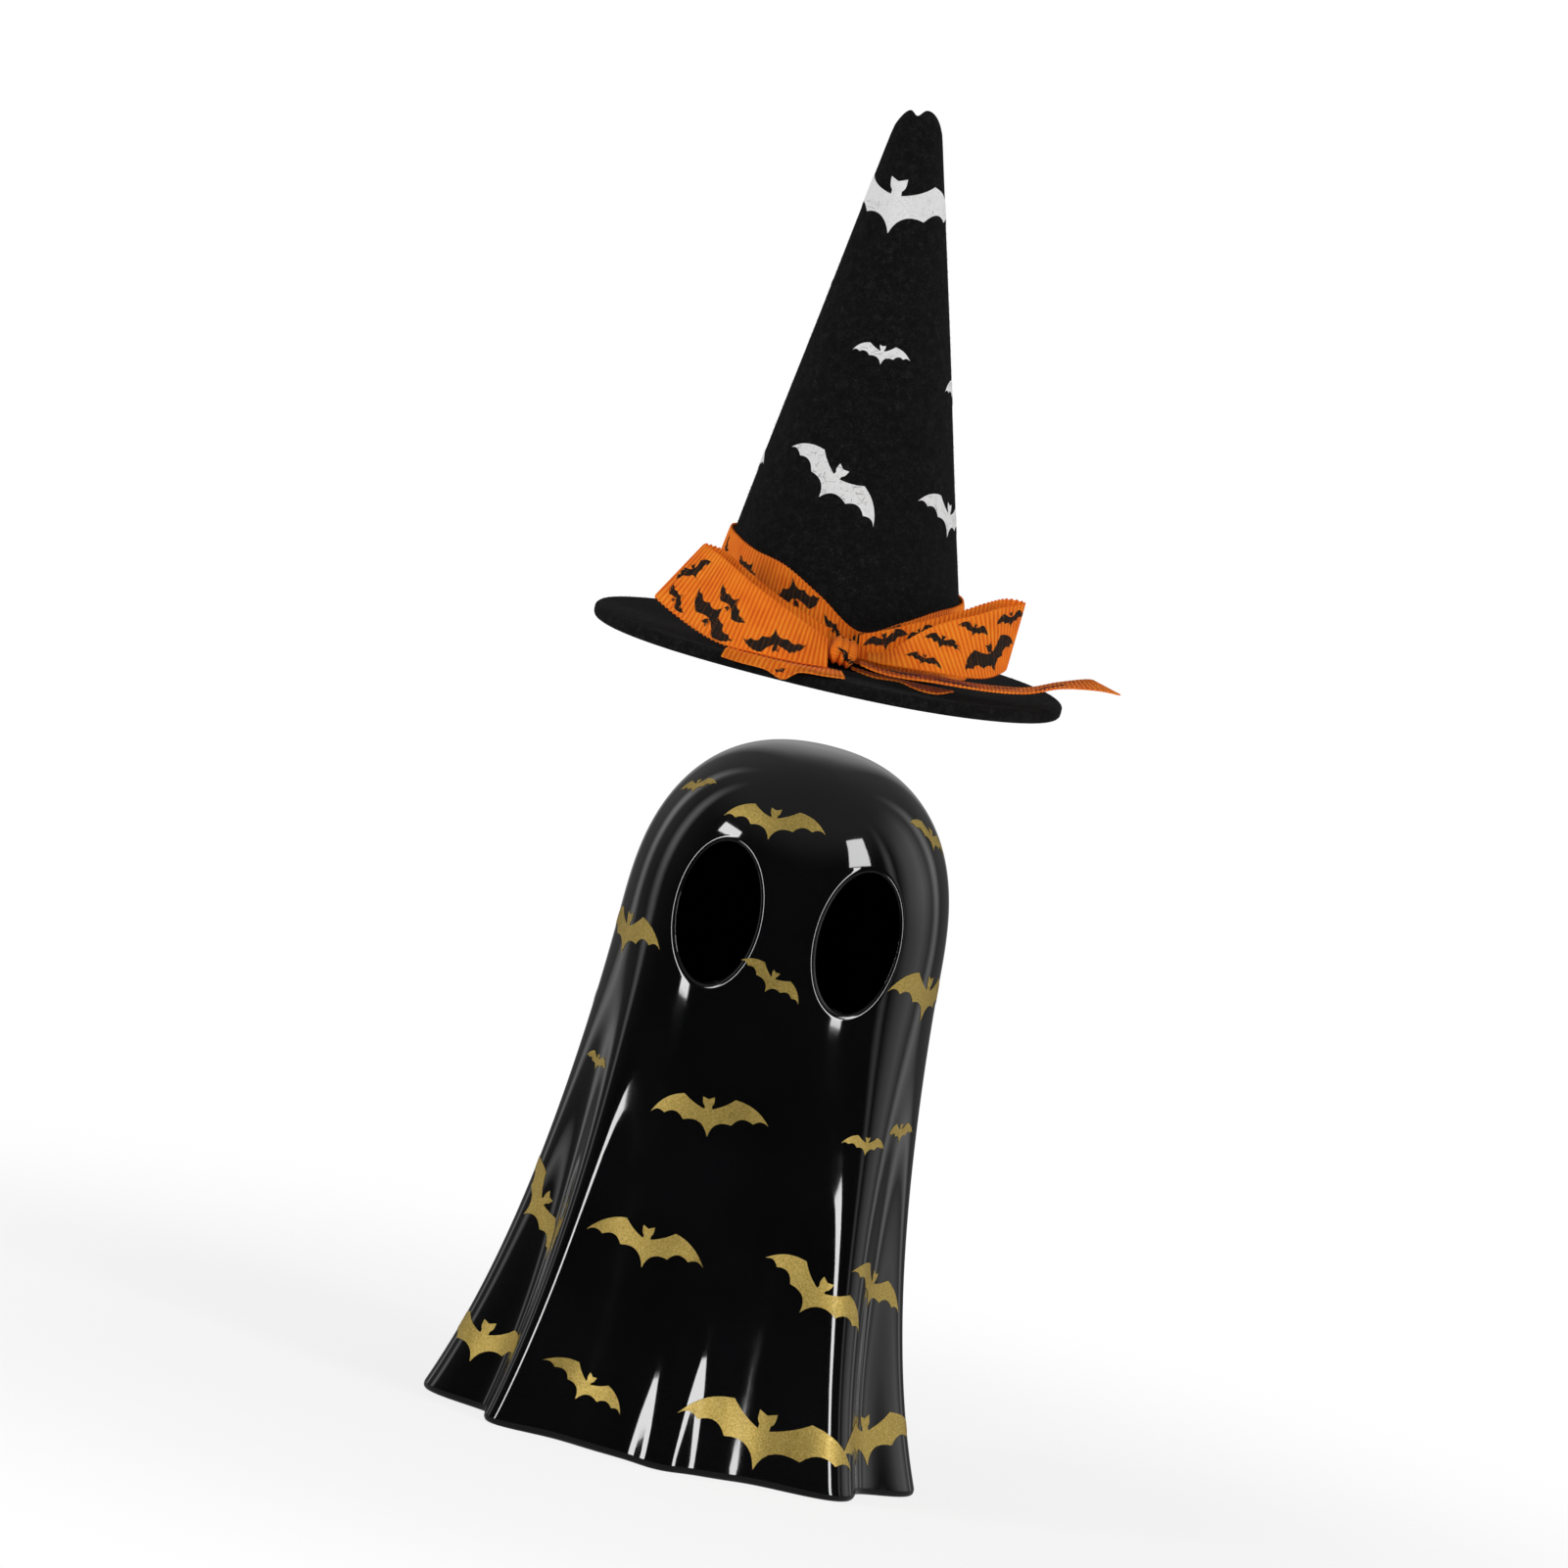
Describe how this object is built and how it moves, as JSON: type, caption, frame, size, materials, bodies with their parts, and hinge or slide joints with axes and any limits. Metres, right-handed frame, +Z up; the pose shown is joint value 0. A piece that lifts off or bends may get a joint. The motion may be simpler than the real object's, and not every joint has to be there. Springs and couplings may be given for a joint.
{
  "type": "light-up ghost figure",
  "caption": "Draped ceramic ghost with see-through oval eyes and a battery light in its base, and a lift-off felt witch hat with a ribbon bow.",
  "frame": {"origin": "middle of the ghost's foot, in the plane that it stands on", "axes": "+Z up, -Y the way the face looks, +X to the right of someone who faces it"},
  "size_m": [0.1095, 0.1014, 0.284],
  "materials": {
    "black_glaze": "high gloss glaze",
    "gold_transfer": "satin metallic gold print on the glaze",
    "silicone": "matt translucent",
    "white_plastic": "fine spark texture",
    "frosted_plastic": "frosted",
    "board_green": "solder mask",
    "lamp_clear": "clear epoxy, unlit",
    "resistor_tan": "lacquered",
    "cell_steel": "bright nickel plate",
    "contact_brass": "bright strip",
    "screw_steel": "zinc plate",
    "lead_red": "insulated wire",
    "lead_black": "insulated wire",
    "black_plastic": "satin",
    "black_felt": "pressed felt",
    "white_print": "matt screen print on felt",
    "orange_ribbon": "ribbed grosgrain with slight sheen",
    "black_print": "printed on the ribbon"
  },
  "bodies": {
    "ghost": {"ghost_shell": "black_glaze", "retaining_ring": "silicone", "light_housing": "white_plastic", "battery_deck": "white_plastic", "circuit_board": "board_green", "led_lamp": "lamp_clear", "resistor": "resistor_tan", "diffuser_dome": "frosted_plastic", "cell_1": "cell_steel", "cell_2": "cell_steel", "cell_3": "cell_steel", "contact_bridge_upper": "contact_brass", "contact_positive": "contact_brass", "terminal_pin": "contact_brass", "positive_pin": "contact_brass", "deck_screw_1": "screw_steel", "deck_screw_2": "screw_steel", "switch_frame": "screw_steel", "switch_lead_1": "lead_red", "switch_lead_2": "lead_black"},
    "battery_door": {"battery_door": "white_plastic", "contact_bridge_lower": "contact_brass", "contact_terminal_lower": "contact_brass"},
    "switch_slider": {"switch_slider": "black_plastic"},
    "hat": {"hat_brim": "black_felt", "hat_cone": "black_felt", "ribbon_band": "orange_ribbon", "bow_knot": "orange_ribbon", "bow_loop_left": "orange_ribbon", "bow_loop_right": "orange_ribbon", "ribbon_tail_left": "orange_ribbon", "ribbon_tail_right": "orange_ribbon", "ribbon_tail_short": "orange_ribbon"}
  },
  "joints": [
    {"name": "hat_lift", "type": "slide", "parent": "ghost", "child": "hat", "axis": [-0.1179, 0, 0.993], "range_m": [-0.02799, 0]},
    {"name": "battery_door_hinge", "type": "hinge", "parent": "ghost", "child": "battery_door", "pos_m": [0.00673, -0.01165, 0.001], "axis": [-0.866, -0.5, 0], "range_deg": [0, 70]},
    {"name": "switch_slide", "type": "slide", "parent": "ghost", "child": "switch_slider", "axis": [0, 1, 0], "range_m": [0, 0.0025]}
  ]
}
